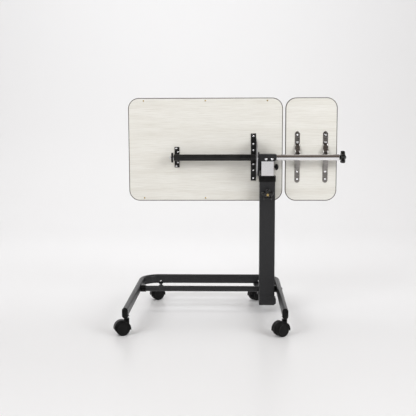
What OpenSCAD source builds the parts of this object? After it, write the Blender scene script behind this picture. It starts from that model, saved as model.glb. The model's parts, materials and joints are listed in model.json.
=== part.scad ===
// Twin-top overbed table: a U base on four casters, a sliding column, and two tops
// that tilt on one spindle. Both tops stand upright, with their undersides to the front.
// Millimetres. The origin is on the floor, at the middle of the table's outline box.
// +X runs along the tops towards the small one, +Y to the back, +Z up.

/* [Tops] */
// Length of the main top
main_length = 600; // [560:10:640]
// Length of the small top
small_length = 200; // [196:2:240]
// Depth of both tops, which is their height while they stand upright
top_depth = 400; // [380:10:420]
// Thickness of both tops
top_thick = 16.5; // [15:0.5:19]
// Corner radius of both tops
top_corner_r = 42; // [30:2:60]
// Thickness of the plastic band round each top's edge
edge_band = 3; // [1:0.5:3]
// Gap between the two tops
tops_gap = 10; // [8:1:16]
// How far the main top reaches past the column's middle
main_past_column = 60.5; // [56:0.5:64]
// How far the tops' middle stands above the tilting axis
top_offset = 29; // [20:1:35]

/* [Tilting axis] */
// Height of the tilting axis with the column right down
axis_z = 610; // [600:5:640]
// Distance from the tilting axis to the undersides of the tops
board_gap = 32; // [31:0.5:36]
// Diameter of the two sleeves that carry the tops
sleeve_d = 25; // [24:0.5:26]
// Diameter of the spindle inside the sleeves
spindle_d = 18; // [16:1:20]
// Radius of the index plate
index_r = 75; // [68:1:80]
// Angle between two index holes
index_step = 15; // [15, 30, 45]

/* [Column] */
// Width of the outer column
outer_w = 60; // [58:1:62]
// Depth of the outer column
outer_d = 40; // [40:1:42]
// Width of the inner column
inner_w = 50; // [48:1:52]
// Depth of the inner column
inner_d = 30; // [28:1:30]
// Wall thickness of both columns
column_wall = 2; // [1.5:0.5:2]
// Length of inner column that shows with the column right down
exposed = 56; // [50:1:60]
// Height of the underside of the column's foot
foot_z = 33; // [30:1:50]
// Diameter of the clamping knob on the column
height_knob_d = 48; // [44:1:52]

/* [Base] */
// Distance between the middles of the two legs
leg_spacing = 559; // [520:1:600]
// Distance from the column's middle to the middle of the right leg
leg_right_x = 49; // [48:1:56]
// Distance from the column's middle forward to the ends of the legs
leg_reach = 352; // [320:1:380]
// Distance from the column's middle back to the middle of the rear tube
web_y = 206; // [190:1:230]
// Width of the flat-oval base tube
base_w = 20; // [18:1:22]
// Height of the flat-oval base tube
base_h = 37.5; // [36:0.5:40]
// Radius of the base tube's two bends, at its middle
bend_r = 70; // [60:5:70]
// Diameter of the cross bar
bar_d = 22; // [20:1:26]

/* [Casters] */
// Diameter of the caster wheels
wheel_d = 50; // [46:1:52]
// Width of one wheel of a twin caster
wheel_w = 14; // [12:1:15]
// Distance from a caster's stem to its axle
caster_trail = 16; // [14:1:20]

/* [Hidden] */
CASTER_NAMES = ["front_left", "front_right", "rear_left", "rear_right"];
$fn = 64;

run_gap = 0.05;    // radial gap of a shaft that turns or slides in a bore
face_gap = 0.4;    // gap between faces that move past each other
past = 1;          // how far a cut runs past the face it opens

// base, measured from the column's middle
leg_left_x = leg_right_x - leg_spacing;
base_wall = 1.5;
caster_clearance = 69;   // height of the underside of the base tube
base_z = caster_clearance + base_h / 2;
cap_lip = 3;
cap_over = 0.5;          // how far a leg cap stands proud of the tube all round
cap_plug = 10;
bar_y = outer_d / 2 + 2.5 + bar_d / 2;
bar_z = base_z - 2;
bar_wall = 2;
collar_len = 20;
collar_d = 27;
bolt_d = 8;
bolt_head_d = 13;
bolt_head_h = 5;
stay_t = 8;
stay_top = caster_clearance + 3;   // its back end takes 3 mm of the rear tube
stay_front_half = outer_w / 2 + 3;
saddle_half = outer_w / 2 - 2;
stay_back_left = 47;     // its back edge, left and right of the column's middle
stay_back_right = 22;
stay_notch_d = 26;       // notch round the socket of the right rear caster

// casters: the places of the stems and the way each one has swivelled
stem_from_end = 40;
stem_from_leg = 74;
CASTERS = [
    [leg_left_x, stem_from_end - leg_reach, 22],
    [leg_right_x, stem_from_end - leg_reach, 35],
    [leg_left_x + stem_from_leg, web_y, 28],
    [leg_right_x - stem_from_leg, web_y, 38]];
wheel_r = wheel_d / 2;
caster_web = 6;
wheel_gap = 1;
wheel_face = caster_web / 2 + wheel_gap;
hood_r = wheel_r + 3;
hood_wall = 1.8;
hood_half = wheel_face + wheel_w + 0.5;
caster_axle_d = 6;
stem_d = 10;
stem_top = base_z;
boss_d = 19;
boss_top = 59;
stem_seat = 10;          // length of stem pressed into the boss
socket_d = 16;
socket_lip_d = 19;
socket_lip = 2;
rear_screw_drop = 7;

// column
collar_top = axis_z - 14 - exposed;
collar_h = 22;
collar_over = 2;
collar_lid = 3;
tube_top = collar_top - collar_lid;
foot_h = 37;
foot_top = foot_z + foot_h;
foot_right = 36;
foot_shoulder = 26;      // height of the foot's wider right-hand part
foot_chamfer = 8;
foot_over = 2;           // how far the foot stands proud of the column, front and back
bush_depth = 50;
slide_gap = 0.3;         // gap each side of the inner column in its plastic guides
inner_bottom = 120;
slide_block_h = 50;
knob_z = collar_top - 69;
nut_d = 22;
nut_h = 10;
stud_d = 10;
knob_back = 3;           // stud that shows between the nut and the knob
knob_hub_h = 10;
knob_lobes_h = 15;
knob_insert_d = 14;      // brass insert, which shows through a hole in the knob's face
knob_hole_d = 9;
knob_face_t = 4;

// head, measured from the tilting axis
head_left = -31;
head_right = 34;
head_front = -outer_d / 2;
head_back = 24;
head_up = 13.5;
head_down = 14;
head_chamfer = 6;
cheek_t = 5;
cheek_up = 21;
cheek_left = head_left - cheek_t;
cheek_bottom = collar_top + face_gap;
head_bolt_x = [-6, 17];
head_bolt_drop = 5;
head_bolt_d = 6;
plate_t = 3;
plate_right = cheek_left - 4;
plate_left = plate_right - plate_t;
spindle_collar_d = 25;

// index pin, measured from the tilting axis
pin_y = board_gap - 12.5;
pin_z = -38;
pin_d = 5;
pin_draw = 4;            // travel from here into the index hole
pin_chamber_d = 8;
pin_collar_d = 7.4;
pin_collar_x = head_left + 4.5;
pin_collar_t = 2;
housing_right = inner_w / 2 - 4;
housing_drop = 52;
pin_knob_d = 24;
pin_knob_len = 17;
spring_wire = 0.8;
spring_turns = 7;
spring_x0 = pin_collar_x + pin_collar_t;
spring_x1 = 0;

// sleeves and what holds them
sleeve_wall = 1.5;
bush_len = 25;
main_sleeve_left = -360;
main_sleeve_right = plate_left - 1;
side_sleeve_left = head_right + 0.5;
side_sleeve_right = 274.5;
spindle_left = -363.5;
disc_d = 38;
disc_t = 6.5;
end_thread_d = 8;
end_nut_t = 6;
side_thread_d = 10;
side_hub_d = 18;
side_hub_t = 5;
side_lobes_t = 17;
side_knob_d = 50;
side_knob_left = side_sleeve_right + 0.5;
side_knob_right = side_knob_left + side_hub_t + side_lobes_t;
side_nub_t = 4.5;

// tops
main_left = main_past_column - main_length;
small_left = main_past_column + tops_gap;
top_mid_z = axis_z + top_offset;
insert_d = 6;
insert_depth = 12;
insert_pitch = 240;
insert_edge = 11;

// brackets under the main top: left edge, width, length, and [x, z] of the screws on one side
bracket_t = 3;
post_half = 9;
BRACKETS = [
    [main_sleeve_left, 19, 80, [[7, 34], [13, 20]]],
    [plate_left - 20, 20, 183, [[10, 82], [10, 51], [10, 27]]]];
screw_d = 4;
screw_head_d = 8;
screw_head_h = 2.2;
screw_depth = 10;

// straps under the small top
STRAP_X = [117, 225.5];
strap_w = 20;
strap_len = 200;
strap_t = 2.5;
strap_flat = 45;
strap_crest = 14;
STRAP_SCREW_Z = [57, 86];

// the outline box, which places the column
function caster_mid_y(c) = c[1] - caster_trail * sin(c[2]);
function caster_reach_y(c) = hood_r * abs(sin(c[2])) + hood_half * abs(cos(c[2]));
function caster_mid_x(c) = c[0] - caster_trail * cos(c[2]);
function caster_reach_x(c) = hood_r * abs(cos(c[2])) + hood_half * abs(sin(c[2]));
box_left = min(concat([main_left], [for (c = CASTERS) caster_mid_x(c) - caster_reach_x(c)]));
box_right = side_knob_right + side_nub_t;
box_front = min([for (c = CASTERS) caster_mid_y(c) - caster_reach_y(c)]);
box_back = max([for (c = CASTERS) caster_mid_y(c) + caster_reach_y(c)]);
column_x = -(box_left + box_right) / 2;
column_y = -(box_front + box_back) / 2;

// ---- helpers ----

module at_column() {
    translate([column_x, column_y, 0]) children();
}

module at_axis() {
    translate([column_x, column_y, axis_z]) children();
}

// a rod along X, Y or Z, between two places on that axis
module x_rod(d, x0, x1) {
    translate([x0, 0, 0]) rotate([0, 90, 0]) cylinder(d = d, h = x1 - x0);
}

module y_rod(d, y0, y1) {
    translate([0, y0, 0]) rotate([-90, 0, 0]) cylinder(d = d, h = y1 - y0);
}

module x_tube(d, bore, x0, x1) {
    difference() {
        x_rod(d, x0, x1);
        x_rod(bore, x0 - past, x1 + past);
    }
}

// a box between two corners
module span(low, high) {
    translate(low) cube(high - low);
}

module flat_oval(w, h) {
    square([w, h - w], center = true);
    for (side = [-1, 1]) translate([0, side * (h - w) / 2]) circle(d = w);
}

module round_rect(w, h, r) {
    square([w - 2 * r, h], center = true);
    square([w, h - 2 * r], center = true);
    for (x = [-1, 1], y = [-1, 1])
        translate([x * (w / 2 - r), y * (h / 2 - r)]) circle(r);
}

// a rectangular tube along Z
module box_tube(w, d, r, wall, z0, z1) {
    translate([0, 0, z0]) linear_extrude(z1 - z0) difference() {
        round_rect(w, d, r);
        round_rect(w - 2 * wall, d - 2 * wall, max(r - wall, 0.5));
    }
}

// an upright slab with rounded corners, standing on the tops' middle line
module upright_slab(left, length, inset, y0, y1) {
    translate([left + length / 2, y1, top_mid_z - axis_z]) rotate([90, 0, 0])
        linear_extrude(y1 - y0)
            round_rect(length - 2 * inset, top_depth - 2 * inset, top_corner_r - inset);
}

// the outline of a lobed knob, with round lobes on a round core
module lobed(d, lobes) {
    lobe_d = d * 0.34;
    circle(d = d * 0.66);
    for (i = [0 : lobes - 1])
        rotate(90 + i * 360 / lobes) translate([(d - lobe_d) / 2, 0]) circle(d = lobe_d);
}

// a domed screw head on the face y = 0, with its dome to the front and a socket in it
module button_head(d, h, socket) {
    rotate([90, 0, 0]) difference() {
        rotate_extrude() polygon([[0, 0], [d / 2, 0], [d / 2, h * 0.35], [d * 0.4, h * 0.75],
                                  [d * 0.25, h], [0, h]]);
        translate([0, 0, h * 0.4]) cylinder(d = socket, h = h, $fn = 6);
    }
}

// ---- base ----

// the U of the base: two legs, two bends and the rear tube
module base_path(w, h, over) {
    leg_end = cap_lip - leg_reach - over;
    bend_y = web_y - bend_r;
    for (x = [leg_left_x, leg_right_x])
        translate([x, bend_y, base_z]) rotate([90, 0, 0])
            linear_extrude(bend_y - leg_end) flat_oval(w, h);
    for (bend = [[leg_left_x + bend_r, 90], [leg_right_x - bend_r, 0]])
        translate([bend[0], bend_y, base_z]) rotate(bend[1])
            rotate_extrude(angle = 90) translate([bend_r, 0]) flat_oval(w, h);
    translate([leg_left_x + bend_r, web_y, base_z]) rotate([90, 0, 90])
        linear_extrude(leg_spacing - 2 * bend_r) flat_oval(w, h);
}

module base_frame() {
    color([0.27, 0.27, 0.28]) at_column() difference() {
        base_path(base_w, base_h, 0);
        base_path(base_w - 2 * base_wall, base_h - 2 * base_wall, past);
        translate([0, bar_y, bar_z])
            x_rod(bolt_d, leg_left_x - base_w, leg_right_x + base_w);
        for (c = CASTERS) translate([c[0], c[1], caster_clearance - past])
            cylinder(d = socket_d, h = base_h / 2);
        for (c = [CASTERS[2], CASTERS[3]])
            translate([c[0], web_y, base_z - rear_screw_drop]) y_rod(screw_d, -base_w, 0);
    }
}

module leg_end_caps() {
    plug_w = base_w - 2 * base_wall;
    plug_h = base_h - 2 * base_wall;
    color([0.05, 0.05, 0.05]) at_column() for (x = [leg_left_x, leg_right_x])
        translate([x, cap_lip - leg_reach, base_z]) {
            rotate([90, 0, 0]) linear_extrude(cap_lip)
                flat_oval(base_w + 2 * cap_over, base_h + 2 * cap_over);
            translate([0, cap_plug, 0]) rotate([90, 0, 0])
                linear_extrude(cap_plug) flat_oval(plug_w, plug_h);
        }
}

bar_left = leg_left_x + base_w / 2 + collar_len;
bar_right = leg_right_x - base_w / 2 - collar_len;

module cross_bar() {
    color([0.25, 0.25, 0.26]) at_column() translate([0, bar_y, bar_z])
        x_tube(bar_d, bar_d - 2 * bar_wall, bar_left, bar_right);
}

// the collars between the bar and the legs, with plugs that the bolts screw into
module bar_collars() {
    plug_d = bar_d - 2 * bar_wall;
    color([0.05, 0.05, 0.05]) at_column() translate([0, bar_y, bar_z])
        for (end = [[bar_left, -1], [bar_right, 1]]) translate([end[0], 0, 0]) scale([end[1], 1, 1])
            difference() {
                union() {
                    x_rod(collar_d, 0, collar_len);
                    x_rod(plug_d, -collar_len, 0);
                }
                x_rod(bolt_d, -collar_len - past, collar_len + past);
            }
}

module bar_bolts() {
    shank = base_w + collar_len + 15;
    color([0.12, 0.12, 0.12]) at_column() translate([0, bar_y, bar_z])
        for (end = [[leg_left_x - base_w / 2, 90], [leg_right_x + base_w / 2, -90]])
            translate([end[0], 0, 0]) rotate([0, 0, -end[1]]) {
                button_head(bolt_head_d, bolt_head_h, 5);
                y_rod(bolt_d, 0, shank);
            }
}

// the stay: a tapered plate from the foot to under the rear tube, and a saddle for the bar
module column_stay() {
    foot_back = outer_d / 2 + foot_over;
    color([0.22, 0.22, 0.23]) at_column() difference() {
        union() {
            translate([0, 0, stay_top - stay_t]) linear_extrude(stay_t)
                polygon([[-stay_front_half, foot_back], [stay_front_half, foot_back],
                         [stay_back_right, web_y], [-stay_back_left, web_y]]);
            span([-saddle_half, outer_d / 2, foot_top], [bar_right, bar_y, bar_z]);
        }
        translate([0, bar_y, bar_z]) x_rod(bar_d, -stay_back_left, stay_back_left);
        base_path(base_w, base_h, 0);
        translate([CASTERS[3][0], web_y, 0]) cylinder(d = stay_notch_d, h = base_z);
    }
}

// ---- column ----

module outer_column() {
    color([0.27, 0.27, 0.28]) at_column() difference() {
        box_tube(outer_w, outer_d, 4, column_wall, foot_top, tube_top);
        translate([0, 0, knob_z]) y_rod(stud_d + 1, -outer_d, 0);
    }
}

// the foot: a block under the column, with a plug that fits inside it
module column_foot() {
    half = outer_w / 2;
    deep = outer_d / 2 + foot_over;
    plug_h = 25;
    color([0.24, 0.24, 0.25]) at_column() {
        translate([0, deep, 0]) rotate([90, 0, 0]) linear_extrude(2 * deep)
            polygon([[-half, foot_z], [foot_right - foot_chamfer, foot_z],
                     [foot_right, foot_z + foot_chamfer], [foot_right, foot_z + foot_shoulder],
                     [half, foot_z + foot_shoulder + foot_chamfer / 2],
                     [half, foot_top], [-half, foot_top]]);
        translate([0, 0, foot_top]) linear_extrude(plug_h)
            round_rect(outer_w - 2 * column_wall, outer_d - 2 * column_wall, 2);
    }
}

// the guide at the column's mouth: a cap outside the tube and a bush inside it
module column_collar() {
    guide_w = inner_w + 2 * slide_gap;
    guide_d = inner_d + 2 * slide_gap;
    color([0.04, 0.04, 0.04]) at_column() difference() {
        union() {
            translate([0, 0, collar_top - collar_h]) linear_extrude(collar_h) difference() {
                round_rect(outer_w + 2 * collar_over, outer_d + 2 * collar_over, 5);
                round_rect(outer_w, outer_d, 4);
            }
            translate([0, 0, tube_top]) linear_extrude(collar_lid)
                round_rect(outer_w + 2 * collar_over, outer_d + 2 * collar_over, 5);
            translate([0, 0, tube_top - bush_depth]) linear_extrude(bush_depth)
                round_rect(outer_w - 2 * column_wall, outer_d - 2 * column_wall, 2);
        }
        translate([0, 0, tube_top - bush_depth - past])
            linear_extrude(bush_depth + collar_lid + 2 * past) round_rect(guide_w, guide_d, 2);
    }
}

module height_nut() {
    color([0.25, 0.25, 0.26]) at_column() translate([0, 0, knob_z]) difference() {
        y_rod(nut_d, -outer_d / 2 - nut_h, -outer_d / 2);
        y_rod(stud_d + 2 * run_gap, -outer_d, 0);
    }
}

// the pad that the stud presses on the inner column
module clamp_pad() {
    color([0.85, 0.85, 0.8]) at_column() translate([0, 0, knob_z])
        y_rod(14, -outer_d / 2 + column_wall, -inner_d / 2 - slide_gap);
}

knob_base_y = -outer_d / 2 - nut_h - knob_back;
knob_front_y = knob_base_y - knob_hub_h - knob_lobes_h;

module height_knob() {
    color([0.03, 0.03, 0.03]) at_column() translate([0, 0, knob_z]) difference() {
        union() {
            y_rod(height_knob_d * 0.5, knob_base_y - knob_hub_h, knob_base_y);
            translate([0, knob_base_y - knob_hub_h, 0]) rotate([90, 0, 0])
                linear_extrude(knob_lobes_h) lobed(height_knob_d, 5);
        }
        y_rod(knob_insert_d, knob_front_y + knob_face_t, knob_base_y + past);
        y_rod(knob_hole_d, knob_front_y - past, knob_base_y);
    }
}

// the brass insert of the knob, with the steel stud that it drives
module height_knob_stud() {
    color([0.75, 0.6, 0.3]) at_column() translate([0, 0, knob_z]) {
        y_rod(knob_insert_d, knob_front_y + knob_face_t, knob_base_y);
        y_rod(stud_d, knob_base_y, -outer_d / 2 + column_wall - face_gap);
    }
}

module inner_column() {
    color([0.88, 0.88, 0.9]) at_column()
        box_tube(inner_w, inner_d, 3, column_wall, inner_bottom, axis_z - head_down);
}

// the guide at the bottom of the inner column, with a plug inside it
module slide_block() {
    block_w = outer_w - 2 * column_wall - 2 * slide_gap;
    block_d = outer_d - 2 * column_wall - 2 * slide_gap;
    lip = 8;
    color([0.05, 0.05, 0.05]) at_column() {
        translate([0, 0, inner_bottom - lip]) linear_extrude(lip) round_rect(block_w, block_d, 2);
        translate([0, 0, inner_bottom]) linear_extrude(slide_block_h)
            round_rect(inner_w - 2 * column_wall, inner_d - 2 * column_wall, 1);
    }
}

// ---- head ----

module head_block() {
    plug_h = 22;
    bolt_tip = -spindle_d / 2;
    color([0.2, 0.2, 0.21]) at_axis() difference() {
        union() {
            translate([0, head_back, 0]) rotate([90, 0, 0]) linear_extrude(head_back - head_front)
                polygon([[head_left, -head_down], [head_right - head_chamfer, -head_down],
                         [head_right, head_chamfer - head_down], [head_right, head_up - 2],
                         [head_right - 2, head_up], [head_left, head_up]]);
            translate([0, 0, -head_down - plug_h]) linear_extrude(plug_h)
                round_rect(inner_w - 2 * column_wall, inner_d - 2 * column_wall, 1);
        }
        x_rod(spindle_d, head_left - past, head_right + past);
        for (x = head_bolt_x) translate([x, 0, -head_bolt_drop])
            y_rod(head_bolt_d, head_front - past, bolt_tip);
    }
}

// the plate on the head's left side, which reaches down to the collar
module head_cheek() {
    corner = 4;
    low = cheek_bottom - axis_z;
    color([0.2, 0.2, 0.21]) at_axis() difference() {
        translate([cheek_left, 0, 0]) rotate([90, 0, 90]) linear_extrude(cheek_t)
            polygon([[head_front, low], [head_back, low], [head_back, cheek_up - corner],
                     [head_back - corner, cheek_up], [head_front + corner, cheek_up],
                     [head_front, cheek_up - corner]]);
        x_rod(spindle_d, cheek_left - past, head_left + past);
        translate([0, pin_y, pin_z])
            x_rod(pin_d + 2 * run_gap, cheek_left - past, head_left + past);
    }
}

module head_bolts() {
    tip = -spindle_d / 2 - 0.1;
    color([0.85, 0.85, 0.87]) at_axis() for (x = head_bolt_x)
        translate([x, head_front, -head_bolt_drop]) {
            button_head(10.5, 3.5, 4);
            y_rod(head_bolt_d, 0, tip - head_front);
        }
}

module spindle() {
    color([0.6, 0.6, 0.62]) at_axis() {
        x_rod(end_thread_d, spindle_left - disc_t - end_nut_t - 2, spindle_left);
        x_rod(spindle_d, spindle_left, side_sleeve_right);
        x_rod(side_thread_d, side_sleeve_right, side_knob_right - 6);
    }
}

// the bright collar on the spindle between the head and the main sleeve
module spindle_collar() {
    color([0.9, 0.9, 0.92]) at_axis()
        x_tube(spindle_collar_d, spindle_d, main_sleeve_right + face_gap, cheek_left);
}

// the block behind the inner column that guides the index pin, with its spring chamber
module pin_housing() {
    front = inner_d / 2;
    back = board_gap - 4;
    color([0.2, 0.2, 0.21]) at_axis() difference() {
        span([head_left, front, -housing_drop], [housing_right, back, -head_down]);
        translate([0, pin_y, pin_z]) {
            x_rod(pin_d + 2 * run_gap, head_left - past, housing_right + past);
            x_rod(pin_chamber_d, head_left - past, spring_x1);
        }
    }
}

module end_disc() {
    color([0.04, 0.04, 0.04]) at_axis()
        x_tube(disc_d, end_thread_d, spindle_left - disc_t, spindle_left);
}

module end_nut() {
    color([0.9, 0.9, 0.92]) at_axis() difference() {
        translate([spindle_left - disc_t - end_nut_t, 0, 0]) rotate([0, 90, 0])
            cylinder(d = 15, h = end_nut_t, $fn = 6);
        x_rod(end_thread_d, spindle_left - disc_t - end_nut_t - past, spindle_left);
    }
}

// ---- index pin ----

pin_tip_x = plate_right + face_gap;
pin_knob_x = housing_right + pin_draw + 2;

module pull_pin() {
    color([0.75, 0.62, 0.35]) at_axis() translate([0, pin_y, pin_z]) {
        x_rod(pin_d, pin_tip_x, pin_knob_x + pin_knob_len - 3);
        x_rod(pin_collar_d, pin_collar_x, pin_collar_x + pin_collar_t);
    }
}

// a mushroom knob; its thin neck passes the inner column's corner
module pull_pin_knob() {
    r = pin_knob_d / 2;
    hole = pin_d / 2;
    neck = 3.8;
    color([0.03, 0.03, 0.03]) at_axis() translate([pin_knob_x, pin_y, pin_z]) rotate([0, 90, 0])
        rotate_extrude() polygon([[hole, 0], [neck, 0], [neck, 4], [r * 0.85, 5], [r, 7],
                                  [r, 10.5], [r * 0.85, 14], [r * 0.5, 16.5],
                                  [0, pin_knob_len], [0, pin_knob_len - 3],
                                  [hole, pin_knob_len - 3]]);
}

// points of a ring of the spring's wire, at an angle along the coil
SPRING_SIDES = 8;
SPRING_RINGS = 12 * spring_turns;
spring_r = (pin_d + pin_chamber_d) / 4;
function spring_ring(i) = let (
        turn = 360 * spring_turns * i / SPRING_RINGS,
        x = spring_x0 + spring_wire
            + (spring_x1 - spring_x0 - 2 * spring_wire) * i / SPRING_RINGS)
    [for (k = [0 : SPRING_SIDES - 1]) let (
            side = 360 * k / SPRING_SIDES,
            r = spring_r + spring_wire / 2 * cos(side))
        [x + spring_wire / 2 * sin(side), r * cos(turn), r * sin(turn)]];

module pull_pin_spring() {
    points = [for (i = [0 : SPRING_RINGS]) for (p = spring_ring(i)) p];
    last = SPRING_RINGS * SPRING_SIDES;
    sides = [for (i = [0 : SPRING_RINGS - 1]) for (k = [0 : SPRING_SIDES - 1])
        let (a = i * SPRING_SIDES + k, b = i * SPRING_SIDES + (k + 1) % SPRING_SIDES)
        [a, b, b + SPRING_SIDES, a + SPRING_SIDES]];
    ends = [[for (k = [SPRING_SIDES - 1 : -1 : 0]) k],
            [for (k = [0 : SPRING_SIDES - 1]) last + k]];
    color([0.7, 0.7, 0.72]) at_axis() translate([0, pin_y, pin_z])
        polyhedron(points, concat(sides, ends));
}

// ---- main top ----

// the places of the bracket screws, from the axis
main_screws = [for (b = BRACKETS) for (s = b[3]) for (side = [-1, 1]) [b[0] + s[0], side * s[1]]];

module main_top() {
    mid = main_left + main_length / 2;
    color([0.9, 0.88, 0.83]) at_axis() difference() {
        upright_slab(main_left, main_length, edge_band, board_gap, board_gap + top_thick);
        for (s = main_screws) translate([s[0], 0, s[1]])
            y_rod(screw_d, board_gap - past, board_gap + screw_depth);
        for (x = [-1 : 1], side = [-1, 1])
            translate([mid + x * insert_pitch, 0, top_offset + side * (top_depth / 2 - insert_edge)])
                y_rod(insert_d, board_gap - past, board_gap + insert_depth);
    }
}

module edge_ring(left, length) {
    difference() {
        upright_slab(left, length, 0, board_gap, board_gap + top_thick);
        upright_slab(left, length, edge_band, board_gap - past, board_gap + top_thick + past);
    }
}

module main_top_edge() {
    color([0.35, 0.33, 0.31]) at_axis() edge_ring(main_left, main_length);
}

module top_inserts() {
    mid = main_left + main_length / 2;
    color([0.78, 0.65, 0.35]) at_axis() for (x = [-1 : 1], side = [-1, 1])
        translate([mid + x * insert_pitch, 0, top_offset + side * (top_depth / 2 - insert_edge)])
            difference() {
                y_rod(insert_d, board_gap, board_gap + insert_depth);
                y_rod(insert_d * 0.6, board_gap - past, board_gap + insert_depth - 1);
            }
}

module main_sleeve() {
    color([0.06, 0.06, 0.06]) at_axis()
        x_tube(sleeve_d, sleeve_d - 2 * sleeve_wall, main_sleeve_left, main_sleeve_right);
}

// two plastic bushes inside the ends of a sleeve
module sleeve_bushes(left, right) {
    outer = sleeve_d - 2 * sleeve_wall;
    bore = spindle_d + 2 * run_gap;
    x_tube(outer, bore, left, left + bush_len);
    x_tube(outer, bore, right - bush_len, right);
}

module main_bushes() {
    color([0.8, 0.8, 0.78]) at_axis() sleeve_bushes(main_sleeve_left, main_sleeve_right);
}

// the two brackets: a drilled strip on the board and a post up to the sleeve
module main_brackets() {
    color([0.05, 0.05, 0.05]) at_axis() difference() {
        for (b = BRACKETS) {
            span([b[0], board_gap - bracket_t, -b[2] / 2], [b[0] + b[1], board_gap, b[2] / 2]);
            span([b[0], sleeve_d / 4, -post_half], [b[0] + b[1], board_gap, post_half]);
        }
        x_rod(sleeve_d, main_sleeve_left - past, main_sleeve_right + past);
        x_rod(spindle_collar_d + 2, main_sleeve_right, plate_left + past);
        for (s = main_screws) translate([s[0], 0, s[1]]) y_rod(screw_d, 0, board_gap + past);
    }
}

// a round-headed screw whose head stands on the face y
module round_head_screw(y, depth) {
    translate([0, y, 0]) {
        button_head(screw_head_d, screw_head_h, 3);
        y_rod(screw_d, 0, depth);
    }
}

module main_bracket_screws() {
    color([0.9, 0.9, 0.9]) at_axis() for (s = main_screws) translate([s[0], 0, s[1]])
        round_head_screw(board_gap - bracket_t, bracket_t + screw_depth);
}

// a half disc with a row of index holes on the pin's circle
module index_plate() {
    hub = spindle_collar_d + 2;
    color([0.82, 0.83, 0.84]) at_axis() difference() {
        x_rod(2 * index_r, plate_left, plate_right);
        span([plate_left - past, board_gap, -2 * index_r],
             [plate_right + past, 2 * index_r, 2 * index_r]);
        x_rod(hub, plate_left - past, plate_right + past);
        for (tilt = [0 : index_step : 90]) rotate([-tilt, 0, 0]) translate([0, pin_y, pin_z])
            x_rod(pin_d + 2 * slide_gap, plate_left - past, plate_right + past);
    }
}

// ---- small top ----

strap_screws = [for (x = STRAP_X) for (z = STRAP_SCREW_Z) for (side = [-1, 1]) [x, side * z]];

module small_top() {
    color([0.9, 0.88, 0.83]) at_axis() difference() {
        upright_slab(small_left, small_length, edge_band, board_gap, board_gap + top_thick);
        for (s = strap_screws) translate([s[0], 0, s[1]])
            y_rod(screw_d, board_gap - past, board_gap + screw_depth);
    }
}

module small_top_edge() {
    color([0.35, 0.33, 0.31]) at_axis() edge_ring(small_left, small_length);
}

module side_sleeve() {
    color([0.85, 0.85, 0.87]) at_axis()
        x_tube(sleeve_d, sleeve_d - 2 * sleeve_wall, side_sleeve_left, side_sleeve_right);
}

module side_bushes() {
    color([0.8, 0.8, 0.78]) at_axis() sleeve_bushes(side_sleeve_left, side_sleeve_right);
}

// the side view of a strap: flat on the board at its ends, arched to the sleeve's back
module strap_side() {
    crest_y = sleeve_d / 2;
    foot_y = board_gap - strap_t;
    end = strap_len / 2;
    polygon([[foot_y, -end], [board_gap, -end], [board_gap, -strap_flat],
             [crest_y + strap_t, -strap_crest], [crest_y + strap_t, strap_crest],
             [board_gap, strap_flat], [board_gap, end], [foot_y, end],
             [foot_y, strap_flat + 2], [crest_y, strap_crest + 2],
             [crest_y, -strap_crest - 2], [foot_y, -strap_flat - 2]]);
}

module side_straps() {
    color([0.85, 0.85, 0.87]) at_axis() difference() {
        for (x = STRAP_X) intersection() {
            translate([x - strap_w / 2, 0, 0]) rotate([90, 0, 90])
                linear_extrude(strap_w) strap_side();
            translate([x, board_gap, 0]) rotate([90, 0, 0])
                linear_extrude(board_gap) flat_oval(strap_w, strap_len);
        }
        for (s = strap_screws) translate([s[0], 0, s[1]]) y_rod(screw_d, 0, board_gap + past);
    }
}

module side_strap_screws() {
    color([0.9, 0.9, 0.9]) at_axis() for (s = strap_screws) translate([s[0], 0, s[1]])
        round_head_screw(board_gap - strap_t, strap_t + screw_depth);
}

module side_knob() {
    bore = side_thread_d + 4;
    color([0.03, 0.03, 0.03]) at_axis() {
        difference() {
            union() {
                x_rod(side_hub_d, side_knob_left, side_knob_left + side_hub_t);
                translate([side_knob_left + side_hub_t, 0, 0]) rotate([90, 0, 90])
                    linear_extrude(side_lobes_t) lobed(side_knob_d, 5);
            }
            x_rod(bore, side_knob_left - past, side_knob_right - 4);
        }
        x_rod(11, side_knob_right, side_knob_right + side_nub_t);
    }
}

module side_knob_insert() {
    color([0.75, 0.6, 0.3]) at_axis()
        x_tube(side_thread_d + 4, side_thread_d + 2 * run_gap, side_knob_left, side_knob_right - 4);
}

// ---- casters ----

// children are drawn with the stem at the origin and the axle behind it along -X
module at_caster(c) {
    at_column() translate([c[0], c[1], 0]) rotate(c[2]) children();
}

module caster_sockets() {
    color([0.05, 0.05, 0.05]) for (c = CASTERS) at_caster(c) difference() {
        union() {
            translate([0, 0, caster_clearance - socket_lip])
                cylinder(d = socket_lip_d, h = socket_lip);
            translate([0, 0, caster_clearance - socket_lip])
                cylinder(d = socket_d, h = stem_top + 2 - caster_clearance + socket_lip);
        }
        translate([0, 0, caster_clearance - socket_lip - past])
            cylinder(d = stem_d + 2 * run_gap, h = stem_top - caster_clearance + socket_lip + past);
    }
}

// the screws that lock the rear sockets in the tube
module caster_screws() {
    color([0.85, 0.85, 0.85]) at_column() for (c = [CASTERS[2], CASTERS[3]])
        translate([c[0], web_y - base_w / 2, base_z - rear_screw_drop]) {
            button_head(7, 2.5, 3);
            y_rod(screw_d, 0, (base_w - socket_d) / 2);
        }
}

module caster_stem(c) {
    shoulder = 3;
    color([0.6, 0.6, 0.62]) at_caster(c) {
        translate([0, 0, boss_top - stem_seat])
            cylinder(d = stem_d, h = stem_top - 1 - boss_top + stem_seat);
        translate([0, 0, boss_top]) cylinder(d = stem_d + 4, h = shoulder);
    }
}

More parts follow.
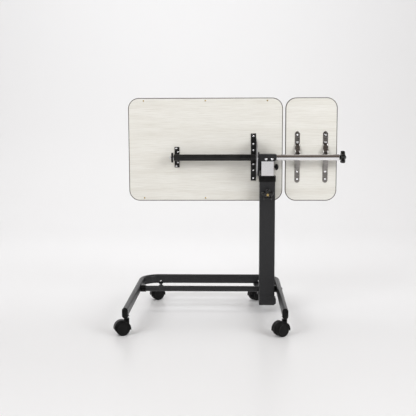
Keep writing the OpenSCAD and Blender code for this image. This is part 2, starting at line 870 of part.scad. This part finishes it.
// the caster's body: a web between the wheels, a hood over them and the boss for the stem
module caster_hood(c) {
    low = wheel_r * 0.8;
    color([0.05, 0.05, 0.05]) at_caster(c) difference() {
        union() {
            translate([-caster_trail, 0, wheel_r]) {
                y_rod(2 * (wheel_r - 3), -caster_web / 2, caster_web / 2);
                difference() {
                    y_rod(2 * hood_r, -hood_half, hood_half);
                    y_rod(2 * (hood_r - hood_wall), -hood_half - past, -caster_web / 2);
                    y_rod(2 * (hood_r - hood_wall), caster_web / 2, hood_half + past);
                    span([-2 * hood_r, -2 * hood_half, -2 * hood_r],
                         [2 * hood_r, 2 * hood_half, low - wheel_r]);
                }
            }
            translate([0, 0, wheel_r * 1.4]) cylinder(d = boss_d, h = boss_top - wheel_r * 1.4);
        }
        translate([0, 0, boss_top - stem_seat]) cylinder(d = stem_d, h = stem_seat + past);
        translate([-caster_trail, 0, wheel_r]) {
            y_rod(caster_axle_d + 2 * run_gap, -caster_web, caster_web);
            for (side = [-1, 1]) scale([1, side, 1])
                y_rod(2 * (hood_r - hood_wall), caster_web / 2, hood_half + past);
        }
    }
}

module caster_axle(c) {
    color([0.6, 0.6, 0.62]) at_caster(c) translate([-caster_trail, 0, wheel_r])
        y_rod(caster_axle_d, -wheel_face - wheel_w + 3, wheel_face + wheel_w - 3);
}

// the two wheels, pressed on the ends of the axle
module caster_wheels(c) {
    r = wheel_r;
    w = wheel_w;
    hole = caster_axle_d / 2;
    color([0.06, 0.06, 0.06]) at_caster(c) for (side = [-1, 1])
        translate([-caster_trail, side * wheel_face, wheel_r]) rotate([-90 * side, 0, 0])
            rotate_extrude() polygon([[hole, 0], [r - 2, 0], [r, 2], [r, w - 3], [r - 3, w - 0.5],
                                      [r - 5, w - 0.5], [r - 6, w - 2], [8, w - 2],
                                      [7, w - 0.5], [0, w], [0, w - 3], [hole, w - 3]]);
}

base_frame();
leg_end_caps();
cross_bar();
bar_collars();
bar_bolts();
column_stay();
outer_column();
column_foot();
column_collar();
height_nut();
clamp_pad();
caster_sockets();
caster_screws();
height_knob();
height_knob_stud();
inner_column();
slide_block();
head_block();
head_cheek();
head_bolts();
spindle();
spindle_collar();
pin_housing();
end_disc();
end_nut();
pull_pin();
pull_pin_knob();
pull_pin_spring();
main_top();
main_top_edge();
main_sleeve();
main_bushes();
main_brackets();
main_bracket_screws();
index_plate();
top_inserts();
small_top();
small_top_edge();
side_sleeve();
side_bushes();
side_straps();
side_strap_screws();
side_knob();
side_knob_insert();
for (i = [0 : 3]) {
    caster_stem(CASTERS[i]);
    caster_hood(CASTERS[i]);
    caster_axle(CASTERS[i]);
    caster_wheels(CASTERS[i]);
}
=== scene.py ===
import json
import math

import bmesh
import bpy
from mathutils import Matrix, Vector


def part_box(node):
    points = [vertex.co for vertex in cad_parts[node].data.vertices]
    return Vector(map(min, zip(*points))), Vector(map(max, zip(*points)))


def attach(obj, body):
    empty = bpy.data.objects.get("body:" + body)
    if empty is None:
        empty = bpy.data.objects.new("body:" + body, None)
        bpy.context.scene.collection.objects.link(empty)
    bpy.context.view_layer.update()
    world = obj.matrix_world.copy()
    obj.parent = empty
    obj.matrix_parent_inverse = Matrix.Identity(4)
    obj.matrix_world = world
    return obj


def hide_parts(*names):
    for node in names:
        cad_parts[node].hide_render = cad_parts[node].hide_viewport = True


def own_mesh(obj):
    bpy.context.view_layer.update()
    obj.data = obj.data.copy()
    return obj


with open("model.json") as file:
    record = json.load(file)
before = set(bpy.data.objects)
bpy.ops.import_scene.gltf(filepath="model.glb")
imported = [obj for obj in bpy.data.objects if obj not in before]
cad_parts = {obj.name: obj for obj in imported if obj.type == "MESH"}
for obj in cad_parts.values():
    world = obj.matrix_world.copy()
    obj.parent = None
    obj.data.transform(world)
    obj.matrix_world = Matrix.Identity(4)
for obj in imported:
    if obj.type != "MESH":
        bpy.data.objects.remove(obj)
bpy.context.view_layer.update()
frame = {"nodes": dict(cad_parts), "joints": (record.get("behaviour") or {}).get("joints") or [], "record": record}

NODES = frame["nodes"]
JOINTS = {j["name"]: j for j in frame["joints"]}
CASTERS = ("front_left", "front_right", "rear_left", "rear_right")
MM = 0.001


# ---- shader helpers ----

class Shader:
    """A material with a Principled BSDF, and short calls that add nodes to it."""

    def __init__(self, name):
        self.mat = bpy.data.materials.new(name)
        self.mat.use_nodes = True
        self.nodes = self.mat.node_tree.nodes
        self.links = self.mat.node_tree.links
        self.bsdf = self.nodes["Principled BSDF"]
        self.coords = self.nodes.new("ShaderNodeTexCoord").outputs["Object"]

    def link(self, out, socket):
        self.links.new(out, socket)

    def set(self, **values):
        for key, value in values.items():
            self.bsdf.inputs[key.replace("_", " ")].default_value = value

    def scaled(self, scale):
        """Object coordinates, scaled along each axis."""
        node = self.nodes.new("ShaderNodeMapping")
        node.inputs["Scale"].default_value = scale
        self.link(self.coords, node.inputs["Vector"])
        return node.outputs["Vector"]

    def noise(self, scale, detail=3.0, rough=0.5, vector=None, distortion=0.0):
        node = self.nodes.new("ShaderNodeTexNoise")
        node.inputs["Scale"].default_value = scale
        node.inputs["Detail"].default_value = detail
        node.inputs["Roughness"].default_value = rough
        node.inputs["Distortion"].default_value = distortion
        self.link(vector or self.coords, node.inputs["Vector"])
        return node.outputs["Fac"]

    def cells(self, scale):
        """Soft round cells, such as the dimples of hammered paint."""
        node = self.nodes.new("ShaderNodeTexVoronoi")
        node.feature = "SMOOTH_F1"
        node.inputs["Scale"].default_value = scale
        node.inputs["Smoothness"].default_value = 1.0
        self.link(self.coords, node.inputs["Vector"])
        return node.outputs["Distance"]

    def ramp(self, fac, *stops):
        """Colours along a ramp, given as (place, colour)."""
        node = self.nodes.new("ShaderNodeValToRGB")
        ends = node.color_ramp.elements
        while len(ends) < len(stops):
            ends.new(0.5)
        for element, (place, colour) in zip(ends, stops):
            element.position = place
            element.color = (*colour, 1.0)
        self.link(fac, node.inputs["Fac"])
        return node.outputs["Color"]

    def spread(self, fac, low, high, start=0.0, end=1.0):
        """Maps start to end onto low to high."""
        node = self.nodes.new("ShaderNodeMapRange")
        limits = {"From Min": start, "From Max": end, "To Min": low, "To Max": high}
        for key, value in limits.items():
            node.inputs[key].default_value = value
        self.link(fac, node.inputs["Value"])
        return node.outputs["Result"]

    def mix(self, fac, a, b, kind="MIX"):
        node = self.nodes.new("ShaderNodeMix")
        node.data_type = "RGBA"
        node.blend_type = kind
        if isinstance(fac, float):
            node.inputs["Factor"].default_value = fac
        else:
            self.link(fac, node.inputs["Factor"])
        self.link(a, node.inputs["A"])
        self.link(b, node.inputs["B"])
        return node.outputs["Result"]

    def bump(self, height, distance, strength):
        node = self.nodes.new("ShaderNodeBump")
        node.inputs["Distance"].default_value = distance
        node.inputs["Strength"].default_value = strength
        self.link(height, node.inputs["Height"])
        return node.outputs["Normal"]

    def finish(self, colour, roughness, normal=None):
        """Links the surface's colour, roughness and bump, and returns the material."""
        self.link(colour, self.bsdf.inputs["Base Color"])
        self.link(roughness, self.bsdf.inputs["Roughness"])
        if normal:
            self.link(normal, self.bsdf.inputs["Normal"])
        return self.mat


# ---- materials ----

def hammered_paint():
    """Dark grey paint with a hammered surface and pale flecks."""
    s = Shader("hammered_paint")
    dimples = s.cells(330.0)
    fleck = s.noise(900.0, 2.0, 0.6)
    colour = s.mix(
        s.spread(s.noise(9.0, 3.0), 0.0, 0.5),
        s.ramp(fleck, (0.35, (0.008, 0.008, 0.0085)), (0.60, (0.026, 0.026, 0.0275)),
               (0.74, (0.085, 0.085, 0.088))),
        s.ramp(dimples, (0.1, (0.032, 0.032, 0.034)), (0.7, (0.010, 0.010, 0.011))))
    rough = s.spread(fleck, 0.26, 0.46, 0.3, 0.7)
    s.set(Coat_Weight=0.1, Coat_Roughness=0.2, Specular_IOR_Level=0.25)
    return s.finish(colour, rough, s.bump(dimples, 0.0005, 0.6))


def black_paint():
    """Black powder coat with a little dust in it."""
    s = Shader("black_paint")
    peel = s.noise(260.0, 2.0)
    dust = s.noise(30.0, 5.0, 0.6)
    colour = s.ramp(dust, (0.3, (0.006, 0.006, 0.006)), (0.75, (0.015, 0.0145, 0.014)))
    s.set(Specular_IOR_Level=0.25)
    return s.finish(colour, s.spread(dust, 0.26, 0.40, 0.3, 0.7), s.bump(peel, 0.0001, 0.3))


def black_plastic(name, low, high, shade, shine):
    """Moulded plastic: its roughness goes from low to high where hands have worn it."""
    s = Shader(name)
    grain = s.noise(1800.0, 2.0)
    wear = s.noise(45.0, 5.0, 0.6)
    dark, light = 0.005 * shade, 0.013 * shade
    s.set(Specular_IOR_Level=shine)
    colour = s.ramp(wear, (0.35, (dark, dark, dark)), (0.8, (light, light, light * 0.97)))
    return s.finish(colour, s.spread(wear, low, high, 0.3, 0.7), s.bump(grain, 0.0001, 0.35))


def metal(name, dark, light, low, high, stretch, depth=0.00003):
    """A bare or plated metal: faint streaks along one axis, with small changes of gloss."""
    s = Shader(name)
    streaks = s.noise(1.0, 3.0, 0.6, vector=s.scaled(stretch))
    haze = s.noise(25.0, 4.0)
    colour = s.mix(s.spread(haze, 0.2, 0.8, 0.3, 0.7),
                   s.ramp(streaks, (0.3, dark), (0.7, light)),
                   s.ramp(haze, (0.3, light), (0.8, dark)))
    rough = s.spread(streaks, low, high, 0.3, 0.7)
    s.set(Metallic=1.0)
    return s.finish(colour, rough, s.bump(streaks, depth, 0.3))


def laminate():
    """Cream wood-grain laminate, with the grain along X."""
    s = Shader("laminate")
    broad = s.noise(1.0, 4.0, 0.55, vector=s.scaled((2.2, 3.0, 34.0)), distortion=0.35)
    fine = s.noise(1.0, 5.0, 0.65, vector=s.scaled((14.0, 20.0, 420.0)))
    pores = s.noise(1.0, 2.0, 0.5, vector=s.scaled((90.0, 300.0, 2600.0)))
    base = s.ramp(broad, (0.25, (0.690, 0.668, 0.610)), (0.50, (0.748, 0.732, 0.682)),
                  (0.75, (0.784, 0.772, 0.728)))
    lines = s.ramp(fine, (0.34, (0.895, 0.885, 0.865)), (0.56, (1.0, 1.0, 1.0)))
    specks = s.ramp(pores, (0.30, (0.945, 0.935, 0.915)), (0.42, (1.0, 1.0, 1.0)))
    colour = s.mix(1.0, s.mix(1.0, base, lines, "MULTIPLY"), specks, "MULTIPLY")
    rough = s.spread(fine, 0.34, 0.48, 0.3, 0.7)
    return s.finish(colour, rough, s.bump(pores, 0.00006, 0.4))


def edge_band():
    """Dark plastic band, rubbed paler in places."""
    s = Shader("edge_band")
    rub = s.noise(60.0, 4.0, 0.6)
    grain = s.noise(1500.0, 2.0)
    colour = s.ramp(rub, (0.3, (0.060, 0.050, 0.044)), (0.8, (0.125, 0.108, 0.098)))
    return s.finish(colour, s.spread(rub, 0.40, 0.58, 0.3, 0.7), s.bump(grain, 0.0001, 0.3))


def nylon():
    """Natural nylon, slightly see-through."""
    s = Shader("white_nylon")
    haze = s.noise(80.0, 4.0)
    colour = s.ramp(haze, (0.3, (0.62, 0.61, 0.56)), (0.7, (0.78, 0.77, 0.73)))
    s.set(Subsurface_Weight=0.1, Subsurface_Radius=(0.002, 0.002, 0.0015))
    return s.finish(colour, s.spread(haze, 0.35, 0.5), s.bump(haze, 0.0001, 0.2))


MATERIALS = {
    "hammered_paint": hammered_paint(),
    "black_paint": black_paint(),
    "black_plastic": black_plastic("black_plastic", 0.22, 0.38, 0.7, 0.13),
    "chrome": metal("chrome", (0.80, 0.80, 0.82), (0.94, 0.94, 0.95), 0.07, 0.14,
                    (30.0, 400.0, 400.0), 0.000003),
    # the straps are chrome; their darkened base colour is painted shade, standing for the dark surroundings that
    # they reflect
    "strap_steel": metal("strap_steel", (0.20, 0.19, 0.18), (0.36, 0.345, 0.33), 0.16, 0.30,
                         (60.0, 60.0, 400.0), 0.00001),
    "zinc_steel": metal("zinc_steel", (0.56, 0.57, 0.59), (0.70, 0.71, 0.73), 0.26, 0.36,
                        (200.0, 200.0, 30.0), 0.000008),
    "brass": metal("brass", (0.52, 0.37, 0.14), (0.78, 0.60, 0.28), 0.18, 0.34,
                   (300.0, 300.0, 300.0)),
    "laminate": laminate(),
    "edge_band": edge_band(),
    "white_nylon": nylon(),
    "caster_body": black_plastic("caster_body", 0.34, 0.5, 0.7, 0.13),
    "caster_wheel": black_plastic("caster_wheel", 0.24, 0.40, 0.8, 0.13),
}
# the knobs are of the same plastic, polished by hands
KNOB_PLASTIC = black_plastic("knob_plastic", 0.10, 0.22, 0.6, 0.5)


# ---- the frame's own pieces ----

WELD_M = 0.00001
FLAT_ANGLE = math.radians(0.6)
SHARP_ANGLE = math.radians(32)


def round_edges(obj, width):
    """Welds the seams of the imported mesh, rounds its sharp edges and shades it evenly."""
    weld = obj.modifiers.new("weld", "WELD")
    weld.merge_threshold = WELD_M
    flat = obj.modifiers.new("flat", "DECIMATE")
    flat.decimate_type = "DISSOLVE"
    flat.angle_limit = FLAT_ANGLE
    if width:
        bevel = obj.modifiers.new("bevel", "BEVEL")
        bevel.width = width * MM
        bevel.segments = 2
        bevel.limit_method = "ANGLE"
        bevel.angle_limit = SHARP_ANGLE
        bevel.use_clamp_overlap = False
        bevel.miter_outer = "MITER_ARC"
    even = obj.modifiers.new("even", "WEIGHTED_NORMAL")
    even.keep_sharp = False
    even.weight = 60
    for poly in obj.data.polygons:
        poly.use_smooth = True


# edge radius of each node, in millimetres; 0 leaves its edges as they are
EDGE_MM = {
    "head_block": 0.8, "head_cheek": 0.8, "column_foot": 1.0, "column_collar": 0.8,
    "pin_housing": 0.6, "column_stay": 0.8, "end_disc": 0.8, "main_brackets": 0.4,
    "main_top_edge": 0.6, "small_top_edge": 0.6, "main_top": 0.0, "small_top": 0.0,
    "leg_end_caps": 0.8, "index_plate": 0.3, "bar_collars": 0.6, "outer_column": 0.2,
    "inner_column": 0.2, "slide_block": 0.5, "base_frame": 0.2, "cross_bar": 0.2,
    "main_sleeve": 0.3, "side_sleeve": 0.3, "spindle": 0.4, "spindle_collar": 0.3,
    "end_nut": 0.4, "height_nut": 0.5,
}

for entry in frame["record"]["subparts"]:
    node = NODES[entry["node"]]
    node.data.materials.clear()
    node.data.materials.append(MATERIALS[entry["material_slot"]])
    round_edges(node, EDGE_MM.get(entry["node"], 0.0))


# ---- made pieces ----

def new_piece(name, mesh_builder, body, slot, replaced, smooth_angle=40, material=None):
    """Makes a mesh object that rides on a body and stands for the nodes replaced."""
    mesh = bpy.data.meshes.new(name)
    bm = bmesh.new()
    mesh_builder(bm)
    bmesh.ops.recalc_face_normals(bm, faces=bm.faces)
    for edge in bm.edges:
        if len(edge.link_faces) == 2:
            edge.smooth = edge.calc_face_angle() < math.radians(smooth_angle)
    for face in bm.faces:
        face.smooth = True
    bm.to_mesh(mesh)
    bm.free()
    obj = bpy.data.objects.new(name, mesh)
    bpy.context.scene.collection.objects.link(obj)
    mesh.materials.append(material or MATERIALS[slot])
    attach(obj, body)
    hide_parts(*replaced)
    return obj


def axis_frame(origin, axis):
    """A matrix whose Z is the axis, at the origin given."""
    z = Vector(axis).normalized()
    x = Vector((0, 0, 1)).cross(z)
    if x.length < 0.1:
        x = Vector((1, 0, 0))
    x.normalize()
    y = z.cross(x)
    return Matrix.Translation(Vector(origin)) @ Matrix((x, y, z)).transposed().to_4x4()


def skin(bm, loops):
    """Joins loops of the same number of points, and closes both ends."""
    count = len(loops[0])
    for low, high in zip(loops, loops[1:]):
        for i in range(count):
            j = (i + 1) % count
            bm.faces.new((low[i], low[j], high[j], high[i]))
    bm.faces.new(loops[0][::-1])
    bm.faces.new(loops[-1])


def loft(bm, rings, place, count):
    """Skins rings given as (depth, radius or a function of the angle), in mm."""
    loops = []
    for depth, radius in rings:
        loop = []
        for i in range(count):
            a = 2 * math.pi * i / count
            r = (radius(a) if callable(radius) else radius) * MM
            point = Vector((r * math.cos(a), r * math.sin(a), depth * MM))
            loop.append(bm.verts.new(place @ point))
        loops.append(loop)
    skin(bm, loops)


LOBES = 5
LOBE_TURN = math.pi / 2
# the rounding of the lobes' back and front: (distance from that end, how far in), in mm
LOBE_BACK = ((0.1, 5.0), (0.5, 2.4), (1.3, 0.9), (2.6, 0.2), (4.0, 0.0))
LOBE_FRONT = ((5.0, 0.0), (3.4, 0.3), (2.0, 1.0), (1.0, 2.2), (0.4, 3.8), (0.1, 5.6))


def star(size, shrink=0.0):
    """The outline of a five-lobed knob, as a radius for each angle."""
    def radius(a):
        wave = math.cos(LOBES * (a - LOBE_TURN))
        lobe = 0.5 + 0.5 * wave
        return size * (0.66 + 0.34 * lobe ** 0.8) - shrink
    return radius


def knob_rings(hub_r, flare, hub_len, face, size):
    """The rings of a moulded knob: a round hub that flares into five rounded lobes."""
    rings = [(0.0, hub_r - 0.6), (0.6, hub_r), (hub_len - 0.6, hub_r), (hub_len, hub_r + flare)]
    rings += [(hub_len + t, star(size, inset)) for t, inset in LOBE_BACK]
    return rings + [(face - t, star(size, inset)) for t, inset in LOBE_FRONT]


def star_knob(name, body, node, place, rings):
    def build(bm):
        loft(bm, rings, place, 120)
    new_piece(name, build, body, "black_plastic", [node], material=KNOB_PLASTIC)


# the knob on the column has a sunk centre round the bore for its insert
height = JOINTS["height_knob_turn"]
low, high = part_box("height_knob")
place = axis_frame((height["pos_m"][0], high.y, height["pos_m"][2]), (0, -1, 0))
size, bore, face = 24.0, 4.4, (high.y - low.y) / MM
dish = [(face, star(size, 6.2)), (face - 0.3, 9.2), (face - 1.3, 8.0), (face - 2.6, 6.4),
        (face - 3.4, bore + 0.5), (face - 4.5, bore)]
star_knob("height_star_knob", "height_knob", "height_knob", place,
          knob_rings(12.5, 0.6, 10.0, face, size) + dish)

# the knob on the spindle has a raised nub
side = JOINTS["side_knob_turn"]
low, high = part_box("side_knob")
place = axis_frame((low.x, side["pos_m"][1], side["pos_m"][2]), (1, 0, 0))
size, face = 25.0, 22.0
nub = [(face, 8.0), (face + 0.3, 6.4), (face + 1.0, 5.7), (face + 3.2, 5.5), (face + 4.1, 5.0),
       (face + 4.5, 4.0)]
star_knob("side_star_knob", "side_knob", "side_knob", place,
          knob_rings(9.0, 1.0, 5.0, face, size) + nub)


STRAP_HALF_W = 10.0
STRAP_HALF_LEN = 100.0
STRAP_T = 2.5
CROWN_STEPS = 14         # points round the rolled outer face
STATIONS = 96            # sections along the strap


def strap_height(z):
    """How far in front of the board the strap's middle line lies at a height z, in mm."""
    rise, foot, crest = 17.0, 54.0, 13.0
    t = min(max((foot - abs(z)) / (foot - crest), 0.0), 1.0)
    return rise * (0.5 - 0.5 * math.cos(math.pi * t))


def strap(bm, centre_x, board_y, mid_z):
    """A pressed strap with round ends and rolled edges, arched over the sleeve's back."""
    turns = [math.pi * k / CROWN_STEPS for k in range(CROWN_STEPS + 1)]
    crown = [(math.cos(a), 0.25 + 0.75 * math.sin(a) ** 0.8) for a in turns]
    section = crown[::-1] + [(0.98, 0.0), (0.0, 0.0), (-0.98, 0.0)]
    loops = []
    for i in range(STATIONS + 1):
        z = -STRAP_HALF_LEN * math.cos(math.pi * i / STATIONS)
        over = max(abs(z) - (STRAP_HALF_LEN - STRAP_HALF_W), 0.0)
        w = math.sqrt(max(STRAP_HALF_W ** 2 - over ** 2, 0.35))
        rise = strap_height(z)
        lean = math.atan(strap_height(z + 0.5) - strap_height(z - 0.5))
        loop = []
        for u, v in section:
            out = v * STRAP_T
            point = Vector((centre_x / MM + u * w,
                            board_y / MM - rise - out * math.cos(lean),
                            mid_z / MM + z - out * math.sin(lean)))
            loop.append(bm.verts.new(point * MM))
        loops.append(loop)
    skin(bm, loops)


def both_straps(bm):
    low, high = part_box("side_straps")
    for x in (low.x + STRAP_HALF_W * MM, high.x - STRAP_HALF_W * MM):
        strap(bm, x, high.y, (low.z + high.z) / 2)


new_piece("arched_straps", both_straps, "small_top", "strap_steel", ["side_straps"], 50)


# half of a wheel's outline: (distance from the caster's middle, radius), in mm
WHEEL = [(4.0, 10.0), (4.0, 22.6), (4.5, 24.2), (5.6, 25.0), (14.6, 25.0), (16.2, 24.5),
         (17.4, 23.4), (17.9, 22.0), (17.8, 20.9), (17.1, 20.2), (16.7, 19.4),
         (16.8, 12.0), (17.3, 8.0), (17.6, 4.0), (17.7, 1.0)]


def caster_wheels(name):
    """Two moulded wheels on the axle, each with a rounded tread, a rim and a dished face."""
    joint = JOINTS["roll_" + name]

    def build(bm):
        for way in (1, -1):
            place = axis_frame(joint["pos_m"], [c * way for c in joint["axis"]])
            loft(bm, WHEEL, place, 96)
    new_piece("twin_wheels_" + name, build, "wheels_" + name, "caster_wheel",
              ["caster_wheels_" + name], 35)


for caster in CASTERS:
    caster_wheels(caster)


def coil_spring(bm):
    """A round wire wound between the index pin's collar and the end of its housing."""
    turns, wire, steps, sides = 7, 0.4 * MM, 24, 8
    low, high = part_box("pull_pin_spring")
    mid_y, mid_z = (low.y + high.y) / 2, (low.z + high.z) / 2
    radius = (high.y - low.y) / 2 - wire
    start, end = low.x + wire, high.x - wire
    loops = []
    for i in range(turns * steps + 1):
        a = 2 * math.pi * i / steps
        x = start + (end - start) * i / (turns * steps)
        loop = []
        for k in range(sides):
            b = 2 * math.pi * k / sides
            r = radius + wire * math.cos(b)
            loop.append(bm.verts.new((x + wire * math.sin(b), mid_y + r * math.cos(a),
                                      mid_z + r * math.sin(a))))
        loops.append(loop)
    skin(bm, loops)


spring = new_piece("index_pin_spring", coil_spring, "mast", "zinc_steel", ["pull_pin_spring"])
low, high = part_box("pull_pin_spring")
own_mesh(spring)


# ---- studio ----

LIGHT_COLOUR = (0.965, 0.985, 1.0)


def stage_mesh(name, verts, faces):
    mesh = bpy.data.meshes.new(name)
    mesh.from_pydata(verts, [], faces)
    for poly in mesh.polygons:
        poly.use_smooth = True
    obj = bpy.data.objects.new(name, mesh)
    bpy.context.scene.collection.objects.link(obj)
    return obj


def sweep_floor():
    """A pale floor that curves up into the backdrop."""
    near, far, radius, top, half = -9.0, 4.5, 2.5, 7.0, 12.0
    steps = 16
    line = [(near, 0.0), (far - radius, 0.0)]
    for i in range(1, steps + 1):
        a = math.pi / 2 * i / steps
        line.append((far - radius + radius * math.sin(a), radius - radius * math.cos(a)))
    line.append((far, top))
    verts = [(x, y, z) for y, z in line for x in (-half, half)]
    faces = [(2 * i, 2 * i + 1, 2 * i + 3, 2 * i + 2) for i in range(len(line) - 1)]
    floor = stage_mesh("sweep_floor", verts, faces)
    s = Shader("floor")
    cloud = s.noise(0.3, 0.0)
    s.set(Specular_IOR_Level=0.35)
    floor.data.materials.append(s.finish(
        s.ramp(cloud, (0.0, (0.800, 0.800, 0.805)), (1.0, (0.830, 0.830, 0.835))),
        s.spread(cloud, 0.30, 0.34)))


def area_light(name, place, target, size, power, mirrored=True):
    data = bpy.data.lights.new(name, "AREA")
    data.shape = "SQUARE"
    data.size = size
    data.energy = power
    data.color = LIGHT_COLOUR
    obj = bpy.data.objects.new(name, data)
    obj.location = place
    aim = Vector(target) - Vector(place)
    obj.rotation_euler = aim.to_track_quat("-Z", "Y").to_euler()
    obj.visible_camera = False
    obj.visible_glossy = mirrored
    bpy.context.scene.collection.objects.link(obj)


def sky_light(strength):
    """Even light from above, as from a white ceiling, which reflections don't see."""
    data = bpy.data.lights.new("ceiling", "SUN")
    data.energy = strength
    data.angle = math.radians(120)
    obj = bpy.data.objects.new("ceiling", data)
    obj.visible_camera = False
    obj.visible_glossy = False
    bpy.context.scene.collection.objects.link(obj)


def studio_world():
    """White below the horizon and dark above it, so that polished metal shows its form."""
    world = bpy.data.worlds.new("studio")
    world.use_nodes = True
    bpy.context.scene.world = world
    nodes, links = world.node_tree.nodes, world.node_tree.links
    coords = nodes.new("ShaderNodeTexCoord")
    split = nodes.new("ShaderNodeSeparateXYZ")
    ramp = nodes.new("ShaderNodeValToRGB")
    back = nodes["Background"]
    links.new(coords.outputs["Generated"], split.inputs["Vector"])
    links.new(split.outputs["Z"], ramp.inputs["Fac"])
    ends = ramp.color_ramp.elements
    ends[0].position, ends[0].color = 0.0, (0.80, 0.80, 0.81, 1)
    ends[1].position, ends[1].color = 0.30, (0.20, 0.17, 0.15, 1)
    links.new(ramp.outputs["Color"], back.inputs["Color"])
    back.inputs["Strength"].default_value = 1.0


def dark_flag():
    """A dark card behind the camera that only reflections see, as in a darkened studio."""
    left, right, y, low, high = -2, 9, -5, 0.42, 4.5
    corners = [(left, y, low), (right, y, low), (right, y, high), (left, y, high)]
    flag = stage_mesh("dark_flag", corners, [(0, 1, 2, 3)])
    s = Shader("flag")
    flag.data.materials.append(s.finish(
        s.ramp(s.noise(0.8, 2.0), (0.2, (0.050, 0.036, 0.026)), (0.8, (0.075, 0.055, 0.040))),
        s.spread(s.noise(3.0, 2.0), 0.8, 0.95)))
    flag.visible_camera = False
    flag.visible_diffuse = False
    flag.visible_shadow = False
    flag.visible_transmission = False


sweep_floor()
studio_world()
dark_flag()
area_light("key", (-2.6, -3.2, 3.4), (0, 0, 0.5), 2.6, 104)
area_light("fill", (3.2, -2.6, 2.4), (0, 0, 0.5), 2.2, 93)
sky_light(0.95)
area_light("backdrop", (-0.7, 1.4, 2.9), (-0.6, 4.4, 0.9), 4.0, 54, mirrored=False)
area_light("front_floor", (0.0, -7.4, 2.6), (0, -7.4, 0), 4.0, 60, mirrored=False)
bpy.context.scene.view_settings.view_transform = "Standard"


LENS_MM = 64.9
YAW, PITCH, ROLL = 1.807, 7.167, -0.196      # degrees
EYE_FROM_COLUMN = (-0.13805, -2.89386)
EYE_HEIGHT = 0.77803


def photo_camera():
    """Looks from the front, a little down, with its place taken from the column's."""
    data = bpy.data.cameras.new("camera")
    data.lens = LENS_MM
    data.sensor_width = 36.0
    data.clip_end = 50.0
    camera = bpy.data.objects.new("camera", data)
    bpy.context.scene.collection.objects.link(camera)
    yaw, pitch, roll = (math.radians(a) for a in (YAW, PITCH, ROLL))
    turn = Matrix.Rotation(yaw, 4, "Z") @ Matrix.Rotation(math.pi / 2 - pitch, 4, "X")
    low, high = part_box("outer_column")
    eye = ((low.x + high.x) / 2 + EYE_FROM_COLUMN[0], (low.y + high.y) / 2 + EYE_FROM_COLUMN[1],
           EYE_HEIGHT)
    camera.matrix_world = Matrix.Translation(eye) @ turn @ Matrix.Rotation(roll, 4, "Z")
    bpy.context.scene.camera = camera


photo_camera()
